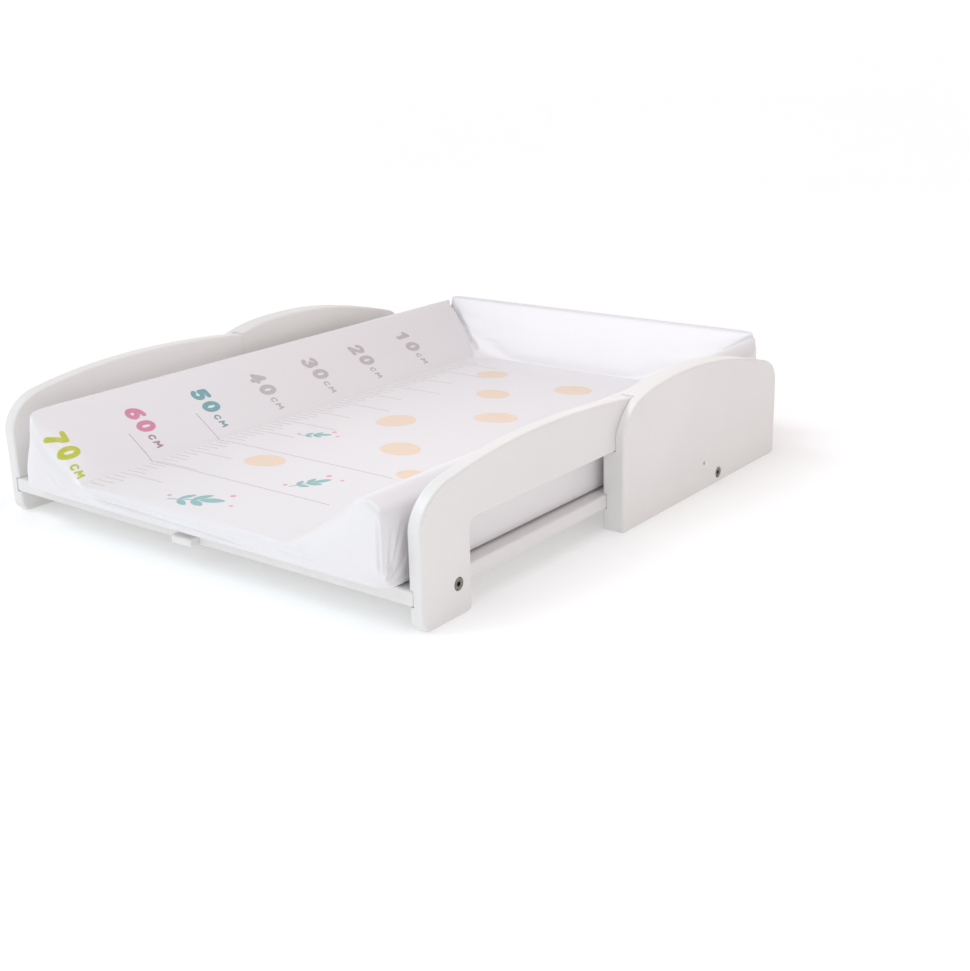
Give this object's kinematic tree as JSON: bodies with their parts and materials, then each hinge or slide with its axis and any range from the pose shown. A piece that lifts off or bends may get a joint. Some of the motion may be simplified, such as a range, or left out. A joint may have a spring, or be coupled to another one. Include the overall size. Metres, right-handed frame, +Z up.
{
  "type": "changing top",
  "caption": "Low white tray that turns a dresser into a changing table, reaching over its front edge, with a loose wedge-sided changing mat lying in it.",
  "frame": {"origin": "Middle of the object's outline seen from above, at the height of the dresser top that it stands on", "axes": "+X to the right of someone standing in front of it, +Y to the wall behind it, +Z up"},
  "size_m": [0.648, 0.774, 0.155],
  "materials": {
    "white_paint": "satin warm-white paint on wood",
    "bronzed_steel": "dark bronzed steel, satin",
    "zinc_steel": "zinc-plated steel, dull",
    "beech": "bare beech",
    "coated_film": "white wipe-clean film, semi-gloss, printed with a centimetre ruler and plain dots",
    "foam": "soft open foam"
  },
  "bodies": {
    "top": {"base_board": "white_paint", "cross_rail": "white_paint", "front_lug": "white_paint", "lug_dowel": "beech", "front_panel_left": "white_paint", "front_panel_right": "white_paint", "rear_panel_left": "white_paint", "rear_panel_right": "white_paint", "leg_bolt_left": "bronzed_steel", "leg_bolt_right": "bronzed_steel", "leg_nut_left": "zinc_steel", "leg_nut_right": "zinc_steel", "rear_bolt_left": "bronzed_steel", "rear_bolt_right": "bronzed_steel", "rear_nut_left": "zinc_steel", "rear_nut_right": "zinc_steel", "locating_pin_left": "zinc_steel", "locating_pin_right": "zinc_steel", "rail_screw_left_lower": "zinc_steel", "rail_screw_left_upper": "zinc_steel", "rail_screw_right_lower": "zinc_steel", "rail_screw_right_upper": "zinc_steel", "cross_rail_dowel_left": "beech", "cross_rail_dowel_right": "beech", "wall_bracket_left": "zinc_steel", "wall_bracket_right": "zinc_steel", "bracket_screw_left_front": "zinc_steel", "bracket_screw_left_rear": "zinc_steel", "bracket_screw_right_front": "zinc_steel", "bracket_screw_right_rear": "zinc_steel"},
    "mat": {"mat_cover_floor": "coated_film", "mat_cover_left": "coated_film", "mat_cover_right": "coated_film", "mat_cover_back": "coated_film", "mat_foam_floor": "foam", "mat_foam_left": "foam", "mat_foam_right": "foam", "mat_foam_back": "foam"}
  },
  "joints": [
    {"name": "mat_lift", "type": "slide", "parent": "top", "child": "mat", "axis": [0, 0, 1], "range_m": [0, 0.13]}
  ]
}
